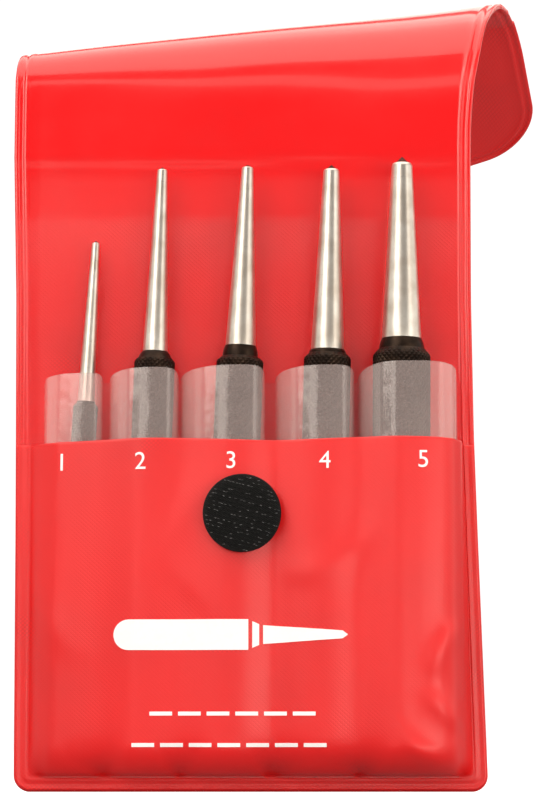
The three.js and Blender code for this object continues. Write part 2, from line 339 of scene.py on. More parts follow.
# The cover and the front panel are one vinyl, and the lining is a glossier one
VINYL = red_vinyl("red_vinyl", srgb(235, 14, 16), srgb(229, 9, 13), 0.34, (0.2, 0.3), 0.8)
LINING = red_vinyl(
    "red_lining", srgb(235, 10, 14), srgb(229, 6, 12), 0.2, (0.6, 0.08), 0.9, GRAIN_TOP)
CLEAR = clear_vinyl()
GROUND = ground_steel()
BLACK = black_steel()
POINT = point_steel()
HOOK_TAPE = tape("hook_tape", srgb(2, 2, 2), srgb(14, 13, 14))
# painted highlight: a lighter copy of the hook tape, for hooks that stand in for glints
HOOK_PAINTED_GLINT = tape("hook_painted_glint", srgb(70, 69, 70), srgb(165, 163, 165))
LOOP_TAPE = tape("loop_tape", srgb(14, 13, 13), srgb(48, 46, 46))
INK = white_ink()


# ---- Mesh helpers ----

def new_object(name, data):
    made = bpy.data.objects.new(name, data)
    bpy.context.scene.collection.objects.link(made)
    return made


def make_piece(name, points, faces, materials, material_of_face=None, smooth=True):
    """A mesh object from points in pouch millimetres."""
    placed = (np.asarray(points, float) + [0, 0, BOTTOM]) * MM
    mesh = bpy.data.meshes.new(name)
    mesh.from_pydata(placed.tolist(), [], [list(face) for face in faces])
    for material in materials:
        mesh.materials.append(material)
    if material_of_face is not None:
        mesh.polygons.foreach_set("material_index", np.asarray(material_of_face, np.int32))
    mesh.polygons.foreach_set("use_smooth", np.full(len(mesh.polygons), smooth))
    mesh.update()
    return new_object(name, mesh)


def unit(vectors):
    return vectors / np.linalg.norm(vectors, axis=-1, keepdims=True)


def grid_faces(rows, columns):
    """Quads of a rows x columns grid of points, with normals by rows cross columns."""
    faces = []
    for row in range(rows - 1):
        for column in range(columns - 1):
            a = row * columns + column
            faces.append((a, a + 1, a + columns + 1, a + columns))
    return faces


def closed_sheet(front, back, faces):
    """Points and faces of a sheet between two surfaces of like points, with walls at its edges.

    Faces come back as front ones, then back ones, then walls.
    """
    count = len(front)
    backs = [tuple(count + i for i in reversed(face)) for face in faces]
    edges = dict.fromkeys(
        (start, face[(i + 1) % len(face)]) for face in faces for i, start in enumerate(face))
    walls = [
        (end, start, count + start, count + end)
        for start, end in edges if (end, start) not in edges]
    return np.vstack([front, back]), [*faces, *backs, *walls]


def thick_sheet(middle, normals, front_depth, back_depth, faces):
    """A closed sheet round a surface: this deep against its normals and this deep along them."""
    front = middle - normals * np.reshape(front_depth, (-1, 1))
    back = middle + normals * np.reshape(back_depth, (-1, 1))
    return closed_sheet(front, back, faces)


def mark_sharp(piece, degrees):
    """Smooth shading that breaks at edges sharper than this."""
    edit = bmesh.new()
    edit.from_mesh(piece.data)
    limit = math.radians(degrees)
    for edge in edit.edges:
        if len(edge.link_faces) == 2:
            edge.smooth = edge.calc_face_angle(0) < limit
    edit.to_mesh(piece.data)
    edit.free()


def attach(piece, body, slot, *solids):
    """Moves the piece with a body of the frame, in place of these CAD solids."""
    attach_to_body(piece, body)
    if solids:
        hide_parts(*solids)


# ---- The two welded vinyl sheets, laid out flat and folded to rest ----

LINE_NAMES = ["crease_1", "crease_2"] + [f"roll_line_{i}" for i in range(1, 6)]
STRIP_BODIES = ["pouch", "spine", "flap_root", "roll_1", "roll_2", "roll_3", "roll_4", "flap_tail"]


class FoldLine:
    """A hinge line of the flat sheet: it crosses the middle at start and climbs by slope."""

    def __init__(self, start, slope):
        self.start = start
        self.slope = slope

    def at(self, x):
        return self.start + x * self.slope


class Strip:
    """A rigid stretch of the sheet at rest: where it starts, and its across and along axes."""

    def __init__(self, origin, along_start, across, along):
        self.origin = origin
        self.along_start = along_start
        self.across = across
        self.along = along

    def place(self, x, along):
        return (
            self.origin
            + np.asarray(x)[..., None] * self.across
            + (np.asarray(along) - self.along_start)[..., None] * self.along
        )


def smooth_step(value, low, high):
    share = np.clip((value - low) / (high - low), 0, 1)
    return share * share * (3 - 2 * share)


def rotate(vector, axis, angle):
    axis = axis / np.linalg.norm(axis)
    turned = vector * math.cos(angle) + np.cross(axis, vector) * math.sin(angle)
    return turned + axis * (axis @ vector) * (1 - math.cos(angle))


def read_fold():
    """The strips and fold lines, worked out from the frame's joints."""
    joints = [JOINTS[name] for name in LINE_NAMES]
    points = [np.array(joint["pos_m"]) / MM - [0, 0, BOTTOM] for joint in joints]
    axes = [unit(-np.array(joint["axis"], float)) for joint in joints]
    strips = [Strip(points[0], points[0][2], np.array([1.0, 0, 0]), np.array([0, 0, 1.0]))]
    lines = [FoldLine(points[0][2], 0.0)]
    along_start = points[0][2]
    for i in range(len(joints) - 1):
        along = unit(points[i + 1] - points[i])
        tilt = axes[i + 1] @ along
        across = unit(axes[i + 1] - tilt * along)
        strips.append(Strip(points[i], along_start, across, along))
        along_start += np.linalg.norm(points[i + 1] - points[i])
        lines.append(FoldLine(along_start, tilt / math.sqrt(1 - tilt * tilt)))
    last, previous = strips[-1], strips[-2]
    turn = math.acos(min(1.0, max(-1.0, np.cross(last.along, last.across) @ np.cross(
        previous.along, previous.across))))
    strips.append(Strip(
        points[-1], along_start,
        rotate(last.across, -axes[-1], turn), rotate(last.along, -axes[-1], turn)))
    return strips, lines


STRIPS, LINES = read_fold()
CREASE_2 = LINES[1].start


def band_edge(k):
    """The line half way between fold lines k - 1 and k, where one bending band meets the next."""
    if k == 0:
        return FoldLine(LINES[0].start - BODY_BAND, 0.0)
    if k == len(LINES):
        pitch = LINES[-1].start - LINES[-2].start
        return FoldLine(LINES[-1].start + pitch / 2, LINES[-1].slope)
    return FoldLine(
        (LINES[k - 1].start + LINES[k].start) / 2, (LINES[k - 1].slope + LINES[k].slope) / 2)


def soft_reach(k):
    """How far the bend of fold line k may reach: a roll line bends the whole of its band."""
    return CREASE_REACH if k < CREASES else math.inf


def bent(k, x, along):
    """Points of band k: straight, then a soft corner at its fold line, then straight."""
    corner_at = LINES[k].at(x)
    before = np.minimum(soft_reach(k), corner_at - band_edge(k).at(x))
    after = np.minimum(soft_reach(k), band_edge(k + 1).at(x) - corner_at)
    start = STRIPS[k].place(x, corner_at - before)
    corner = STRIPS[k].place(x, corner_at)
    end = STRIPS[k + 1].place(x, corner_at + after)
    t = np.clip((along - corner_at + before) / (before + after), 0, 1)[..., None]
    curve = (1 - t) ** 2 * start + 2 * t * (1 - t) * corner + t ** 2 * end
    low = (along < corner_at - before)[..., None]
    high = (along > corner_at + after)[..., None]
    curve = np.where(low, STRIPS[k].place(x, along), curve)
    return np.where(high, STRIPS[k + 1].place(x, along), curve)


def sheet_wave(x, along):
    """Slow unevenness of the soft flap, its sag into the roll, and the pressed first crease."""
    grow = np.clip((along - LINES[0].start) / 12, 0, 1)
    slow = 0.2 * np.sin(x / 13.0 + 0.6 + along / 31.0) + 0.1 * np.sin(x / 7.3 - along / 11.0)
    sag = (2.1 + 1.1 * x / HALF_WIDTH) * smooth_step(along - 0.1 * x, CREASE_2 + 2, CREASE_2 + 24)
    lift = 2.6 * smooth_step(along, CREASE_2 + 35, CREASE_2 + FLAP_LENGTH)
    pressed = along - LINES[0].start - 0.35 * np.sin(x / 8.0) - 0.012 * x
    return grow * slow + sag - lift - 0.16 * np.exp(-(pressed / 0.75) ** 2)


# How far the sheet's side edges stand in from a true rectangle, by distance up the sheet
EDGE_HEIGHTS = [0, 52, 74, 103, 133, 150, 160, 172, 185]
RIGHT_EDGE_IN = [0.6, 2.2, 2.8, 3.1, 2.9, 2.5, 1.5, 0.5, 0.0]
LEFT_EDGE_IN = [0.8, 0.5, 0.3, 0.0, -0.8, -0.9, -0.5, 0.0, 0.0]
EDGE_PULL_START = POCKET_HALF_WIDTH   # only the rim beyond the last pocket is pulled in
EDGE_PULL_FULL = 47.2

# The soft flap beyond the first crease grows wider and lies further and further to the right
FLAP_SPREAD = 0.02
ROOT_DRIFT = 1.0
END_DRIFT = 5.4
FLAP_DRIFT = ROOT_DRIFT + END_DRIFT


def drawn_in(x, along):
    """x after the sides have drawn in."""
    share = np.clip((np.abs(x) - EDGE_PULL_START) / (EDGE_PULL_FULL - EDGE_PULL_START), 0, 1)
    right = np.interp(along, EDGE_HEIGHTS, RIGHT_EDGE_IN)
    left = np.interp(along, EDGE_HEIGHTS, LEFT_EDGE_IN)
    return x - share * np.where(x > 0, right, -left)


def pulled(x, along):
    """x after the sides have drawn in and the flap has spread and drifted."""
    past = along - LINES[0].start
    spread = smooth_step(past, 4, 34)
    drift = smooth_step(past, 20, 75)
    return drawn_in(x, along) * (1 + FLAP_SPREAD * spread) + ROOT_DRIFT * spread + END_DRIFT * drift


def folded(place, x, along):
    """Middle surface and normals (towards the cover) of the sheet that place lays in space."""
    def surface(px, pa):
        """Where the pulled sheet is: fold lines stay put, so only the drawn x moves."""
        base = place(px, pa)
        side = place(px + 1.0, pa) - base
        return base + side * (pulled(px, pa) - px)[..., None]

    step = 0.02
    across = surface(x + step, along) - surface(x - step, along)
    onward = surface(x, along + step) - surface(x, along - step)
    normals = unit(np.cross(onward, across))
    return surface(x, along) + normals * sheet_wave(x, along)[..., None], normals


def rim_depth(distance):
    """Half thickness of the welded sheets by distance from the rim: lip, groove, ridge, flat."""
    knots = [0, 0.08, 0.25, 0.8, 1.15, 1.85, 2.2, 2.75, 3.2]
    depths = [0.28, 0.45, 0.6, 0.62, 0.36, 0.36, 0.66, 0.66, HALF_SHEET]
    return np.interp(distance, knots, depths)


def sheet_columns():
    """x of the columns of points, set close together where the rim is shaped."""
    rim = HALF_WIDTH - np.array(RIM_STEPS[:-1])
    inner = HALF_WIDTH - RIM_STEPS[-1]
    return np.array([*-rim, *np.linspace(-inner, inner, SHEET_COLUMNS), *rim[::-1]])


def sheet_piece(name, place, x, along, faces, rim):
    """The welded sheets over these points, each of them rim away from the outer edge."""
    middle, normals = folded(place, x, along)
    depth = rim_depth(rim)
    points, all_faces = thick_sheet(middle, normals, depth, depth, faces)
    cover = [0] * len(faces) + [1] * (len(all_faces) - len(faces))
    piece = make_piece(name, points, all_faces, [LINING, VINYL], cover)
    mark_sharp(piece, 75)
    return piece


def band_piece(k):
    """The bending stretch of sheet round fold line k."""
    steps = 12 if k < CREASES else 8
    share = np.array([0, 0.004, *np.linspace(0, 1, steps + 1)[1:-1], 0.996, 1])
    x = np.tile(sheet_columns(), (len(share), 1))
    low, high = band_edge(k).at(x), band_edge(k + 1).at(x)
    along = low + (high - low) * share[:, None]
    rim = HALF_WIDTH - np.abs(x)
    piece = sheet_piece(
        f"flap_band_{k + 1}", lambda px, pa: bent(k, px, pa),
        x.ravel(), along.ravel(), grid_faces(*x.shape), rim.ravel())
    blend_band(piece, k)
    strip = STRIP_BODIES[k + 1]
    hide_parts(f"{strip}_cover", f"{strip}_lining")


def blend_band(piece, k):
    """Bakes the band's place into its mesh; the ends of its bend on the bodies on its two sides are
    worked out but not used.
    """
    arm = 0.96 * min(
        soft_reach(k),
        *(abs(LINES[k].at(side) - band_edge(edge).at(side))
          for side in (-HALF_WIDTH, HALF_WIDTH) for edge in (k, k + 1)))
    across_line = arm * np.array([-LINES[k].slope, 1.0]) / math.hypot(1, LINES[k].slope)
    start = STRIPS[k].place(-across_line[0], LINES[k].start - across_line[1])
    end = STRIPS[k + 1].place(across_line[0], LINES[k].start + across_line[1])
    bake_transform(piece)


def rounded_end(name, place, edge, end, corner_r, side_rows):
    """A stretch of sheet from a cut line to a free end with two rounded corners.

    edge is the line where it starts, and end is how far along its free end lies.
    """
    direction = 1 if end > edge.start else -1
    straight_end = end - direction * corner_r
    inner_step = RIM_STEPS[-1]
    outer_steps = RIM_STEPS[:-1]
    flat = {}

    def point(x, along, rim):
        """The number of a point, which is added when it is new."""
        key = (round(x, 5), round(along, 5))
        return flat.setdefault(key, (len(flat), x, along, rim))[0]

    def near_rim(side, share, turn, step):
        """A point step in from the rim: share up the straight side, or turned round the corner."""
        if turn == 0:
            begin = edge.at(side * HALF_WIDTH)
            return side * (HALF_WIDTH - step), begin + (straight_end - begin) * share, step
        radius = corner_r - step
        return (side * (HALF_WIDTH - corner_r + radius * math.cos(turn)),
                straight_end + direction * radius * math.sin(turn), step)

    stations = [(share, 0) for share in (0, 0.0004, *np.linspace(0, 1, side_rows)[1:])]
    stations += [(1, turn) for turn in np.linspace(0, math.pi / 2, 22)[1:]]
    sides = []
    for station in stations:
        left = np.array(near_rim(-1, *station, inner_step))
        right = np.array(near_rim(1, *station, inner_step))
        middle = [left + (right - left) * t for t in np.linspace(0, 1, SHEET_COLUMNS)]
        sides.append([
            *(near_rim(-1, *station, step) for step in outer_steps), *middle,
            *(near_rim(1, *station, step) for step in reversed(outer_steps))])
    last = sides[-1][len(outer_steps):-len(outer_steps)]
    end_rows = [
        [(x, end - direction * step, step) for x, _, _ in last] for step in reversed(RIM_STEPS)]
    quads = []
    for rows in (sides, end_rows):
        numbers = [[point(*entry) for entry in row] for row in rows]
        for above, below in zip(numbers, numbers[1:]):
            for i in range(len(above) - 1):
                quads.append((above[i], above[i + 1], below[i + 1], below[i]))
    quads = [quad[::direction] for quad in quads if len(set(quad)) == 4]
    _, x, along, rim = np.array(list(flat.values())).T
    return sheet_piece(name, place, x, along, quads, rim)


def build_sheet():
    """The body, the bands of the flap and its free end, which together are the whole sheet."""
    body = rounded_end("pouch_back", STRIPS[0].place, band_edge(0), 0.0, BODY_CORNER_R, 60)
    attach(body, "pouch", "red_vinyl", "back_cover", "back_lining")
    for k in range(len(LINES)):
        band_piece(k)
    tail = rounded_end(
        "flap_end", STRIPS[-1].place, band_edge(len(LINES)), CREASE_2 + FLAP_LENGTH,
        FLAP_CORNER_R, 16)
    attach(tail, "flap_tail", "red_vinyl", "flap_tail_cover", "flap_tail_lining")


# ---- Punches ----

class Punch:
    """One punch's axis and turned profile, read from its CAD solid."""

    def __init__(self, number):
        self.node = f"punch_{number}"
        joint = JOINTS[f"{self.node}_draw"]
        self.axis = unit(np.array(joint["axis"], float))
        mesh = frame["nodes"][self.node].data
        points = np.array([v.co for v in mesh.vertices]) / MM - [0, 0, BOTTOM]
        heights = points @ self.axis
        self.point = points[heights.argmax()]
        down = heights.max() - heights
        on_axis = self.point - down[:, None] * self.axis
        radii = np.linalg.norm(points - on_axis, axis=1)
        rings = {}
        for depth, radius in zip(down.round(2), radii):
            rings[depth] = max(rings.get(depth, 0.0), radius)
        self.profile = sorted(rings.items())
        self.radius = max(radii)
        self.length = down.max()

    def x_at(self, z):
        return self.point[0] - (self.point[2] - z) * self.axis[0] / self.axis[2]


PUNCHES = [Punch(number) for number in range(1, 6)]
KNURL_PITCH = 1.15
KNURL_DEPTH = 0.26
KNURL_LENGTH = 46.0
ROW_HEIGHT = KNURL_PITCH / 2


def around(radius, count, i):
    """Point i of count on a circle round the turning axis."""
    angle = 2 * math.pi * i / count
    return radius * math.cos(angle), radius * math.sin(angle)


def turned_faces(rows, count):
    """Quads between rings of count points, row by row."""
    for row in range(rows - 1):
        for i in range(count):
            a, b = row * count + i, row * count + (i + 1) % count
            yield row, i, (a, a + count, b + count, b)


def end_faces(rows, count):
    """The two flat ends of a turned shape."""
    return [tuple(range(count)), tuple(reversed(range((rows - 1) * count, rows * count)))]


def lathe(rings, count):
    """Points and faces of a turned shape from (depth, radius) rings, top to bottom."""
    points = [
        (*around(radius, count, i), -depth) for depth, radius in rings for i in range(count)]
    faces = [face for _, _, face in turned_faces(len(rings), count)]
    return np.array(points), faces + end_faces(len(rings), count)


def rounded_profile(corners, radius):
    """A profile of (depth, radius) corners with each inner corner eased."""
    rounded = [corners[0]]
    for before, corner, after in zip(corners, corners[1:], corners[2:]):
        before, corner, after = map(np.array, (before, corner, after))
        arm = min(radius, *(np.linalg.norm(side - corner) * 0.45 for side in (before, after)))
        start = corner + unit(before - corner) * arm
        end = corner + unit(after - corner) * arm
        for t in np.linspace(0, 1, 4):
            rounded.append(tuple((1 - t) ** 2 * start + 2 * t * (1 - t) * corner + t * t * end))
    return rounded + [corners[-1]]


def stand(punch, points):
    """Puts points of a punch made along -Z at the origin on its leaning axis."""
    up = punch.axis
    side = unit(np.cross([0, 1, 0], up))
    points = np.asarray(points, float)
    front = np.cross(up, side)
    return punch.point + points[:, :1] * side + points[:, 1:2] * front + points[:, 2:] * up


def punch_taper(punch):
    """The point and the ground taper, down to the shoulder."""
    tip, base = punch.profile[1], punch.profile[2]
    cone_end = tip[0] * 0.84
    # a narrow cone, the bright shoulder that it stands on, and the taper
    corners = [
        (0.0, 0.02), (cone_end, tip[1] * 0.66), (tip[0] * 0.92, tip[1] * 0.9),
        (tip[0] * 1.25, tip[1] * 1.01), base]
    rings = rounded_profile(corners, 0.12)[:-1]
    start, end = np.array(rings[-1]), np.array(base)
    rings += [tuple(start * (1 - share) + end * share) for share in np.linspace(0, 1, 14)[1:]]
    rings += [(base[0] + 0.25, base[1] * 0.995), (base[0] + 0.5, base[1] * 0.9)]
    points, faces = lathe(rings, 72)
    shade = [0 if -points[face[0]][2] > cone_end - 0.03 else 1 for face in faces]
    piece = make_piece(
        f"{punch.node}_taper", stand(punch, points), faces, [GROUND, POINT], shade)
    mark_sharp(piece, 35)
    return piece


def grip_rings(punch):
    """Rings of (depth, radius, knurl depth) from the collar to the struck head."""
    base, collar, bevel = punch.profile[2:5]
    rings = [(base[0] + 0.04, base[1] * 0.86, 0), (base[0] + 0.04, base[1] + 0.1, 0)]
    for share in np.linspace(0.12, 1, 5):
        bulge = 0.12 * math.sin(math.pi * share)
        rings.append((
            base[0] + (collar[0] - base[0]) * share,
            base[1] + (collar[1] - base[1]) * share + bulge + 0.05, 0))
    bevel_rows = max(3, round(math.dist(collar, bevel) / ROW_HEIGHT))
    for share in np.arange(1, bevel_rows + 1) / bevel_rows:
        ease = math.sin(share * math.pi / 2)
        rings.append((
            collar[0] + (bevel[0] - collar[0]) * share,
            collar[1] + (bevel[1] - collar[1]) * ease, KNURL_DEPTH * 0.9))
    for row in range(1, round(KNURL_LENGTH / ROW_HEIGHT) + 1):
        rings.append((bevel[0] + row * ROW_HEIGHT, bevel[1], KNURL_DEPTH))
    knurl_end, radius = rings[-1][0], bevel[1]
    head, head_radius = punch.length - 1.5, radius - 0.25
    rings += [
        (knurl_end + 0.5, radius - KNURL_DEPTH, 0), (knurl_end + 1.2, radius - 0.1, 0),
        (punch.length - 2.2, radius - 0.1, 0), (head, head_radius, 0)]
    for turn in np.linspace(0.25, 1, 6) * math.pi / 2:
        rings.append((
            head + 1.5 * math.sin(turn) * 0.98, head_radius * (0.42 + 0.58 * math.cos(turn)), 0))
    return rings


def punch_grip(punch):
    """Collar, knurled bevel and grip, plain shank and struck head, all black.

    The knurl is a chequer of points left on the surface and points cut into it.
    """
    rings = grip_rings(punch)
    count = 2 * max(14, round(2 * math.pi * punch.radius / KNURL_PITCH))
    first = next(row for row, ring in enumerate(rings) if ring[2])
    points, faces = [], []
    for row, (depth, radius, cut) in enumerate(rings):
        for i in range(count):
            peak = (row - first + i) % 2
            points.append((*around(radius if peak else radius - cut, count, i), -depth))
    for row, i, (a, c, d, b) in turned_faces(len(rings), count):
        if not (rings[row][2] and rings[row + 1][2]):
            faces.append((a, c, d, b))
        elif (row - first + i) % 2:
            faces += [(a, c, b), (b, c, d)]
        else:
            faces += [(a, c, d), (a, d, b)]
    faces += end_faces(len(rings), count)
    piece = make_piece(f"{punch.node}_grip", stand(punch, points), faces, [BLACK])
    mark_sharp(piece, 24)
    return piece


def build_punches():
    for punch in PUNCHES:
        for piece in (punch_taper(punch), punch_grip(punch)):
            attach(piece, punch.node, "punch_steel", punch.node)


# ---- Clear pocket sheet and red front panel ----

def opening(z):
    """How far the pockets are open at height z, from 0 at their floor to 1."""
    below = np.clip((POCKET_FULL - z) / (POCKET_FULL - POCKET_FLOOR), 0, 1)
    return np.sqrt(1 - below ** 2)


def pocket_section(z, grow):
    """The pocket sheet across the pouch at height z, as (x, height over the lining).

    grow moves it outwards, and a sleeve is rounder on its left than on its right.
    """
    base = LINING_GAP + grow
    section = [(x, base) for x in np.linspace(-POCKET_HALF_WIDTH, WELD_LINES[0], 5)]
    for i, punch in enumerate(PUNCHES):
        centre = punch.x_at(z)
        left = centre - (WELD_LINES[i] + WELD_HALF[i] - grow)
        right = WELD_LINES[i + 1] - WELD_HALF[i + 1] + grow - centre
        rise = (2 * (punch.radius + POCKET_CLEARANCE) - LINING_GAP) * opening(z)
        for step in range(2 * ARCH_STEPS + 1):
            angle = step / ARCH_STEPS * math.pi / 2
            reach, power = (-left, 2.4) if step < ARCH_STEPS else (right, 4.0)
            across = abs(math.cos(angle)) ** (2 / power)
            up = max(0.0, math.sin(angle)) ** (2 / power)
            section.append((centre + reach * across, base + rise * up))
    section += [(x, base) for x in np.linspace(WELD_LINES[-1], POCKET_HALF_WIDTH, 5)]
    return np.array(section)


def build_pocket_sheet():
    """The clear sheet, whose free top edge stands higher over each punch."""
    heights = np.concatenate([
        np.linspace(POCKET_FLOOR, POCKET_FULL, 7), np.linspace(POCKET_FULL, POCKET_TOP, 34)[1:]])

    def surface(grow):
        rows = []
        for z in heights:
            x, height = pocket_section(z, grow).T
            share = max(0.0, (z - POCKET_FULL) / (POCKET_TOP - POCKET_FULL))
            lift = share ** 6 * 0.24 * height
            rows.append(np.stack([x, LINING_FRONT - height, z + lift], axis=1))
        return np.vstack(rows)

    front = surface(POCKET_PLY)
    faces = grid_faces(len(heights), len(front) // len(heights))
    piece = make_piece("clear_pockets", *closed_sheet(front, surface(0), faces), [CLEAR])
    mark_sharp(piece, 60)
    attach(piece, "pouch", "clear_vinyl", "pocket_sheet")


# Each fold of the front: (x, z) of its two ends, its height and its half width
PANEL_FOLDS = [
    ((46.0, 35.0), (37.0, 22.0), 0.8, 2.4),
    ((36.0, 21.0), (44.5, 13.5), 0.7, 2.2),
    ((30.0, 14.0), (46.0, 5.0), 0.8, 2.2),
    ((5.0, 44.0), (27.0, 58.0), 0.35, 3.2),
    ((-44.0, 62.0), (-33.0, 26.0), 0.45, 4.0),
    ((-9.0, 66.0), (-6.0, 34.0), 0.35, 3.4),
]


def neighbour_mean(grid):
    padded = np.pad(grid, 1, mode="edge")
    return (padded[:-2, 1:-1] + padded[2:, 1:-1] + padded[1:-1, :-2] + padded[1:-1, 2:]) / 4


class FrontPanel:
    """The stretched front: heights over the lining on an x-z grid, relaxed over the pockets."""

    def __init__(self):
        side = HALF_WIDTH - PANEL_INSET
        self.x = np.linspace(-side, side, PANEL_COLUMNS)
        self.z = np.linspace(PANEL_BOTTOM, PANEL_TOP, PANEL_ROWS)
        self.height = self.relax()

    def under(self, z):
        """Heights of the clear sheet below one row."""
        section = pocket_section(max(z, POCKET_FLOOR), POCKET_PLY)
        order = np.argsort(section[:, 0])
        return np.interp(self.x, section[order, 0], section[order, 1])

    def hull(self, low):
        """One row with the sheet drawn taut over its high points."""
        picked = []
        for i in range(len(self.x)):
            while len(picked) > 1:
                a, b = picked[-2], picked[-1]
                cross = (self.x[b] - self.x[a]) * (low[i] - low[a]) - (low[b] - low[a]) * (
                    self.x[i] - self.x[a])
                if cross < 0:
                    break
                picked.pop()
            picked.append(i)
        return np.interp(self.x, self.x[picked], low[picked])

    def relax(self):
        """Heights of the panel: flat welds, and soft dips from one pocket to the next."""
        floor = np.array([self.under(z) for z in self.z]) + 0.12
        side = self.x[-1] - np.abs(self.x)
        edge = np.minimum(side[None, :], (self.z - PANEL_BOTTOM)[:, None])
        flat = edge < PANEL_WELD
        floor[flat] = WELD_HEIGHT
        height = np.array([self.hull(row) for row in floor])
        # the stretched sheet gives way by no more than a third or so of each gap under it
        bed = floor + 0.65 * np.clip(height - floor, 0, 8)
        for _ in range(420):
            height = np.maximum(bed, neighbour_mean(height) * 0.995 + 0.005 * bed)
            height[flat] = WELD_HEIGHT
        for _ in range(35):
            height = np.where(flat, WELD_HEIGHT, np.maximum(floor, neighbour_mean(height)))
        return height + self.folds() * np.clip((edge - PANEL_WELD) / 4, 0, 1)

    def folds(self):
        """Soft ridges where the slack vinyl has buckled."""
        x, z = np.meshgrid(self.x, self.z)
        relief = np.zeros(x.shape)
        for start, end, high, half_width in PANEL_FOLDS:
            dx, dz = end[0] - start[0], end[1] - start[1]
            length = math.hypot(dx, dz)
            along = ((x - start[0]) * dx + (z - start[1]) * dz) / length
            off = ((x - start[0]) * dz - (z - start[1]) * dx) / length
            bow = off - 0.09 * along * (length - along) / half_width
            fade = smooth_step(along, -2, length * 0.35)
            fade *= 1 - smooth_step(along, length * 0.65, length + 2)
            relief += high * fade * np.exp(-(bow / half_width) ** 2)
        return relief

    def front(self, x, z):
        """y of the panel's front face."""
        i = np.clip((x - self.x[0]) / (self.x[1] - self.x[0]), 0, PANEL_COLUMNS - 1.001)
        j = np.clip((z - self.z[0]) / (self.z[1] - self.z[0]), 0, PANEL_ROWS - 1.001)
        i0, j0 = i.astype(int), j.astype(int)
        u, v = i - i0, j - j0
        h = self.height
        value = (
            h[j0, i0] * (1 - u) * (1 - v) + h[j0, i0 + 1] * u * (1 - v)
            + h[j0 + 1, i0] * (1 - u) * v + h[j0 + 1, i0 + 1] * u * v)
        return LINING_FRONT - value - PANEL_PLY / 2


def round_corners(x, z):
    """Draws the square bottom corners of a grid in to arcs."""
    corner = HALF_WIDTH - BODY_CORNER_R
    dx = np.clip(np.abs(x) - corner, 0, None)
    dz = np.clip(BODY_CORNER_R - z, 0, None)
    near = (dx > 0) & (dz > 0)
    shrink = np.divide(np.maximum(dx, dz), np.hypot(dx, dz), out=np.ones_like(x), where=near)
    rounded_x = np.sign(x) * (corner + dx * shrink)
    return np.where(near, rounded_x, x), np.where(near, BODY_CORNER_R - dz * shrink, z)


def build_front_panel(panel):
    """The red front over the clear sheet, with a soft wave in its top edge."""
    rim = np.minimum(HALF_WIDTH - np.abs(panel.x)[None, :], panel.z[:, None])
    x, z = round_corners(*np.meshgrid(panel.x, panel.z))
    near_top = np.clip((z - PANEL_TOP + 12) / 12, 0, 1) ** 2
    climb = near_top * 0.3 * np.cos(2 * math.pi * (x + 20) / 49)
    middle = np.stack([drawn_in(x, z), LINING_FRONT - panel.height, z + climb], axis=2)
    across = np.gradient(middle, axis=1)
    upward = np.gradient(middle, axis=0)
    normals = unit(np.cross(upward, across)).reshape(-1, 3)
    lip = rim_depth(rim).ravel() - HALF_SHEET
    depth = np.clip(PANEL_PLY / 2 + 0.7 * lip, 0.12, 1)
    points, faces = thick_sheet(
        middle.reshape(-1, 3), normals, depth, PANEL_PLY / 2 - 0.04,
        grid_faces(PANEL_ROWS, PANEL_COLUMNS))
    piece = make_piece("front_panel_vinyl", points, faces, [VINYL])
    attach(piece, "pouch", "red_vinyl", "front_panel")


# ---- Fastener discs ----

HOOK_LOW, HOOK_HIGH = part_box("hook_disc")
DISC_X = (HOOK_LOW.x + HOOK_HIGH.x) / 2 / MM
DISC_Z = (HOOK_LOW.z + HOOK_HIGH.z) / 2 / MM - BOTTOM
HOOK_BACK = HOOK_HIGH.y / MM
TAPE_FRONT = HOOK_BACK + (HOOK_LOW.y / MM - HOOK_BACK) * 0.55
HOOK_REACH = TAPE_FRONT - HOOK_LOW.y / MM
HOOK_TILT = math.radians(-15)     # of the rows of hooks
HOOK_PITCH = 0.6                  # from hook to hook along a row
HOOK_ROW_PITCH = 0.8
HOOK_JITTER = 0.08                # each hook stands up to this far out of line
HOOK_WIRE = 0.08
LOOP_WIRE = 0.05                  # radius, as for the hooks


def hook_path(x, z, lean):
    """One hook: out from the tape and back towards it, leaning this way."""
    along = np.array([math.cos(lean), 0, math.sin(lean)])
    return [
        np.array([x, 0, z]) + along * (0.42 * math.sin(t * 2.6) - 0.1)
        + np.array([0, -HOOK_REACH * math.sin(min(t, 1.0) * math.pi * 0.62) * 1.03, 0])
        for t in np.linspace(0, 1, 7)]


def hook_tape():
    """The disc that carries the hooks."""
    rings = [(0, 7.2), (0.02, 7.7), (0.12, 7.95), (0.3, 8.0), (0.5, 7.93), (0.6, 7.7)]
    points, faces = lathe(rings, 64)
    deep = (TAPE_FRONT - HOOK_BACK) / rings[-1][0]
    flat = [DISC_X + points[:, 0], HOOK_BACK - points[:, 2] * deep, DISC_Z + points[:, 1]]
    disc = make_piece("hook_disc_tape", np.stack(flat, axis=1), faces, [HOOK_TAPE])
    mark_sharp(disc, 50)
    return disc


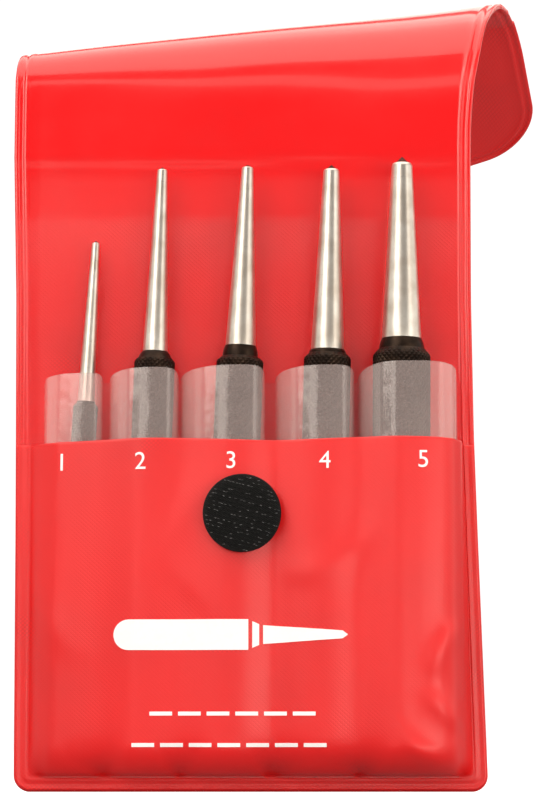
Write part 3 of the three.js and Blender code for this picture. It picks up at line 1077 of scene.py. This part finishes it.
def hooks():
    """Slanted rows of leaning hooks; some of them, more in every other row, get the lighter
    material as painted glints.
    """
    points, faces, painted_glint = [], [], []
    for row in range(-11, 12):
        for column in range(-14, 15):
            u = column * HOOK_PITCH + (row % 2) * HOOK_PITCH / 2
            v = row * HOOK_ROW_PITCH
            x = u * math.cos(HOOK_TILT) - v * math.sin(HOOK_TILT)
            x += RANDOM.uniform(-HOOK_JITTER, HOOK_JITTER)
            z = u * math.sin(HOOK_TILT) + v * math.cos(HOOK_TILT)
            z += RANDOM.uniform(-HOOK_JITTER, HOOK_JITTER)
            if math.hypot(x, z) > DISC_R - 0.3:
                continue
            path = hook_path(x, z, HOOK_TILT + RANDOM.uniform(-0.3, 0.3))
            add_wire(points, faces, path, HOOK_WIRE)
            # painted highlight: these hooks get the lighter glint material, more often in every
            # other row
            bright = RANDOM.random() < (0.42 if row % 2 else 0.13)
            painted_glint += [int(bright)] * (len(faces) - len(painted_glint))
    placed = np.array(points) + [DISC_X, TAPE_FRONT + 0.05, DISC_Z]
    return make_piece("hook_disc_hooks", placed, faces, [HOOK_TAPE, HOOK_PAINTED_GLINT], painted_glint)


def build_hook_disc():
    for piece in (hook_tape(), hooks()):
        attach(piece, "pouch", "hook_fabric", "hook_disc")


def add_wire(points, faces, path, radius, sides=5):
    """Adds a closed round wire along a path."""
    first = len(points)
    for i, place in enumerate(path):
        ahead = unit(path[min(i + 1, len(path) - 1)] - path[max(i - 1, 0)])
        side = np.cross(ahead, [0.3, 0.2, 1.0])
        side = unit(side) if np.linalg.norm(side) > 1e-6 else np.array([1.0, 0, 0])
        up = np.cross(ahead, side)
        for k in range(sides):
            angle = 2 * math.pi * k / sides
            points.append(place + radius * (math.cos(angle) * side + math.sin(angle) * up))
    for i in range(len(path) - 1):
        for k in range(sides):
            a, b = first + i * sides + k, first + i * sides + (k + 1) % sides
            faces.append((a, b, b + sides, a + sides))
    faces.append(tuple(reversed(range(first, first + sides))))
    end = first + (len(path) - 1) * sides
    faces.append(tuple(range(end, end + sides)))


def on_flap(local):
    """Points of the loop disc, as (across, out, along) from its centre, on the flap's inside."""
    strip = STRIPS[-1]
    local = np.asarray(local, float)
    x = DISC_X + local[:, 0]
    along = CREASE_2 + LINES[0].start - DISC_Z + local[:, 2]
    outward = np.cross(strip.across, strip.along)
    rise = sheet_wave(x - FLAP_DRIFT, along)[:, None]
    return strip.place(x, along) + outward * (HALF_SHEET + 0.12 + local[:, 1:2] - rise)


def loop_path():
    """One loop of thread somewhere on the disc."""
    radius = (DISC_R - 0.7) * math.sqrt(RANDOM.random())
    angle = RANDOM.uniform(0, 2 * math.pi)
    facing = RANDOM.uniform(0, 2 * math.pi)
    centre = np.array([radius * math.cos(angle), 0.45, radius * math.sin(angle)])
    along = np.array([math.cos(facing), 0, math.sin(facing)])
    tall = RANDOM.uniform(0.22, 0.42)
    return [
        centre + along * 0.5 * math.cos(t) + np.array([0, tall * math.sin(t), 0])
        for t in np.linspace(0, math.pi, 7)]


def build_loop_disc():
    """The soft half: a disc of tangled loops on the inside of the flap's end."""
    points, faces = lathe([(0, 7.3), (0.05, 7.8), (0.2, 8.0), (0.4, 7.9), (0.5, 7.5)], 64)
    flat = np.stack([points[:, 0], -points[:, 2], points[:, 1]], axis=1)
    disc = make_piece(
        "loop_disc_tape", on_flap(flat), [face[::-1] for face in faces], [LOOP_TAPE])
    mark_sharp(disc, 50)
    points, faces = [], []
    for _ in range(420):
        add_wire(points, faces, loop_path(), LOOP_WIRE, 4)
    loops = make_piece("loop_disc_loops", on_flap(points), faces, [LOOP_TAPE])
    for piece in (disc, loops):
        attach(piece, "flap_tail", "loop_fabric", "loop_disc")


# ---- Printed marks ----

INK_FRONT = 0.07             # ink in front of its middle surface, which is as far off the panel
INK_BACK = 0.06
INK_CUT = 0.7                # size of the cells that let flat ink follow the panel
MARK_HEIGHT = 3.5
MARK_Z = 67.4
MARK_X = [-39.0, -22.6, -4.0, 15.2, 35.2]    # one numeral over each pocket
DASH = 4.6
DASH_GAP = 1.2
DASH_HALF_HEIGHT = 0.4


def printed(name, outlines, panel):
    """Ink on the panel from closed outlines in (x, z), each a list of points."""
    edit = bmesh.new()
    for outline in outlines:
        edit.faces.new([edit.verts.new((x, 0, z)) for x, z in outline])
    drape_ink(name, edit, panel)


def drape_ink(name, edit, panel):
    """Cuts flat ink into small cells, lays it on the panel and gives it a thickness."""
    xs = [v.co.x for v in edit.verts]
    zs = [v.co.z for v in edit.verts]
    for low, high, normal in ((min(xs), max(xs), (1, 0, 0)), (min(zs), max(zs), (0, 0, 1))):
        place = low + INK_CUT
        while place < high:
            geometry = edit.verts[:] + edit.edges[:] + edit.faces[:]
            bmesh.ops.bisect_plane(
                edit, geom=geometry, plane_co=Vector(normal) * place, plane_no=normal)
            place += INK_CUT
    bmesh.ops.triangulate(edit, faces=edit.faces[:])
    edit.normal_update()
    for face in edit.faces:
        if face.normal.y > 0:
            face.normal_flip()
    edit.verts.index_update()
    flat = np.array([(v.co.x, v.co.z) for v in edit.verts])
    faces = [tuple(v.index for v in face.verts) for face in edit.faces]
    edit.free()
    y = panel.front(flat[:, 0], flat[:, 1]) - INK_FRONT
    middle = np.stack([flat[:, 0], y, flat[:, 1]], axis=1)
    points, all_faces = thick_sheet(middle, np.array([0.0, 1.0, 0.0]), INK_FRONT, INK_BACK, faces)
    piece = make_piece(name, points, all_faces, [INK], smooth=False)
    attach(piece, "pouch", "red_vinyl")


def digit_mesh(text, x):
    """A flat numeral centred on x over its pocket."""
    curve = bpy.data.curves.new("digit", "FONT")
    curve.body = text
    curve.resolution_u = 6
    holder = new_object("digit", curve)
    bpy.context.view_layer.update()
    mesh = bpy.data.meshes.new_from_object(holder)
    bpy.data.objects.remove(holder)
    points = np.array([v.co for v in mesh.vertices])
    low, high = points.min(0), points.max(0)
    scale = MARK_HEIGHT / (high[1] - low[1])
    edit = bmesh.new()
    edit.from_mesh(mesh)
    bmesh.ops.remove_doubles(edit, verts=edit.verts[:], dist=1e-5)
    for vertex in edit.verts:
        cx = (vertex.co.x - (low[0] + high[0]) / 2) * scale + x
        cz = (vertex.co.y - (low[1] + high[1]) / 2) * scale + MARK_Z
        vertex.co = (cx, 0, cz)
    return edit


def mirrored(half, x, z):
    """A closed outline at (x, z) from the lower half of one that is the same above and below."""
    upper = [(across, -up) for across, up in reversed(half) if up]
    return [(x + across, z + up) for across, up in [*half, *upper]]


def dashes(z, start, end):
    """A dashed rule at height z."""
    count = math.floor((end - start + DASH_GAP + 0.01) / (DASH + DASH_GAP))
    for i in range(count):
        x = start + i * (DASH + DASH_GAP)
        yield mirrored([(0, -DASH_HALF_HEIGHT), (DASH, -DASH_HALF_HEIGHT)], x, z)


def build_print(panel):
    """Numerals over the pockets, and a plain drawing of a punch with rules under it."""
    for number, x in enumerate(MARK_X, start=1):
        drape_ink(f"size_mark_{number}", digit_mesh(str(number), x), panel)
    x, z, radius = -1.8, 31.8, 3.1
    grip = mirrored([(-23, -radius), (1.4, -radius)], x, z)
    for turn in np.radians(np.linspace(90, 270, 16)[1:-1]):
        grip.append((x - 23 + radius * math.cos(turn), z + radius * math.sin(turn)))
    shoulder = mirrored([(2.2, -2.7), (3.6, -2.1)], x, z)
    taper = mirrored([(4.4, -1.9), (20.5, -0.8), (21.6, 0)], x, z)
    printed("print_punch", [grip, shoulder, taper], panel)
    printed("print_rule_1", dashes(15.9, -20.4, 13.8), panel)
    printed("print_rule_2", dashes(9.6, -24, 17.4), panel)


# ---- Studio ----

# The camera, in metres, with heights from the floor
CAMERA_DISTANCE = 0.52
CAMERA_X = 0.0039
CAMERA_AIM_Z = 0.0813
CAMERA_Z = 0.013
VIEW_HEIGHT = 0.168
SENSOR_WIDTH = 36            # millimetres


def aim(thing, place, target):
    """Puts a camera or a light at a place, facing a target."""
    thing.location = place
    thing.rotation_euler = (Vector(target) - Vector(place)).to_track_quat("-Z", "Y").to_euler()


def build_camera():
    """A level view of the front from a little above the floor, looking slightly up."""
    floor = BOTTOM * MM
    camera = new_object("camera", bpy.data.cameras.new("camera"))
    place = Vector((CAMERA_X, -CAMERA_DISTANCE, floor + CAMERA_Z))
    target = Vector((CAMERA_X, 0, floor + CAMERA_AIM_Z))
    aim(camera, place, target)
    camera.data.sensor_width = SENSOR_WIDTH
    camera.data.lens = SENSOR_WIDTH * (target - place).length / VIEW_HEIGHT
    camera.data.clip_start = 0.01
    camera.data.clip_end = 20
    bpy.context.scene.camera = camera


WARM_LIGHT = (1.0, 0.94, 0.84)
# each light: name, place, what it faces, width and height, power
LIGHTS = [
    ("key", (-0.45, -0.6, 0.4), (0, 0, 0), (0.45, 0.6), 3.0),
    ("fill", (0.7, -0.55, 0.15), (0, 0, 0), (0.3, 0.6), 1.1),
    ("top", (0.0, -0.03, 0.6), (0, -0.03, 0), (1.2, 0.94), 7.3),
    ("brow", (0.0, -0.7, 0.53), (0, 0, 0.09), (1.0, 0.07), 0.35),
    ("front", (0.0, -0.9, 0.24), (0, 0, 0.05), (1.0, 0.05), 0.12),
    ("left_card", (-0.26, -0.9, 0.1), (0, 0, 0.03), (0.22, 0.24), 0.52),
    ("side_left", (-0.8, 0.0, 0.15), (0, 0, 0.05), (0.9, 0.6), 1.3),
    ("side_right", (0.8, 0.0, 0.15), (0, 0, 0.05), (0.9, 0.6), 1.8),
    ("under", (0.3, -0.6, -0.03), (0.04, 0.04, 0.07), (0.5, 0.06), 1.3),
    ("behind", (0.2, 0.8, 0.35), (0, 0, 0), (0.8, 0.6), 2.2),
]


def area_light(name, place, target, size, power):
    light = bpy.data.lights.new(name, "AREA")
    light.shape = "RECTANGLE"
    light.size, light.size_y = size
    light.energy = power
    light.color = WARM_LIGHT
    aim(new_object(name, light), place, target)


def build_sweep():
    """A floor that curves up into a back wall."""
    floor = BOTTOM * MM - 0.0004
    half_width, flat_end, curve_r, wall_top = 3.0, 1.2, 0.6, 2.6
    profile = [(-half_width, 0.0), (flat_end, 0.0)]
    profile += [
        (flat_end + curve_r * math.sin(a), curve_r - curve_r * math.cos(a))
        for a in np.linspace(0, math.pi / 2, 12)[1:]]
    profile.append((flat_end + curve_r, wall_top))
    points = [(x, y, floor + z) for y, z in profile for x in (-half_width, half_width)]
    faces = [(2 * i, 2 * i + 1, 2 * i + 3, 2 * i + 2) for i in range(len(profile) - 1)]
    mesh = bpy.data.meshes.new("studio_sweep")
    mesh.from_pydata(points, [], faces)
    mesh.materials.append(studio_paper())
    mesh.polygons.foreach_set("use_smooth", np.ones(len(faces), bool))
    new_object("studio_sweep", mesh)


def build_sky():
    """A white sky for the camera, which lights the object only faintly."""
    world = bpy.data.worlds.new("studio")
    world.use_nodes = True
    sky = world.node_tree.nodes["Background"]
    sky.inputs["Color"].default_value = (1, 1, 1, 1)
    seen = world.node_tree.nodes.new("ShaderNodeLightPath").outputs["Is Camera Ray"]
    level = world.node_tree.nodes.new("ShaderNodeMapRange")
    level.inputs["To Min"].default_value = SKY_GLOW
    world.node_tree.links.new(seen, level.inputs["Value"])
    world.node_tree.links.new(level.outputs["Result"], sky.inputs["Strength"])
    bpy.context.scene.world = world


def build_studio():
    build_sweep()
    build_sky()
    for light in LIGHTS:
        area_light(*light)
    bpy.context.scene.view_settings.view_transform = "Standard"
    bpy.context.scene.view_settings.look = "None"


# ---- Build ----

build_sheet()
build_punches()
build_pocket_sheet()
FRONT = FrontPanel()
build_front_panel(FRONT)
build_hook_disc()
build_loop_disc()
build_print(FRONT)
build_studio()
build_camera()
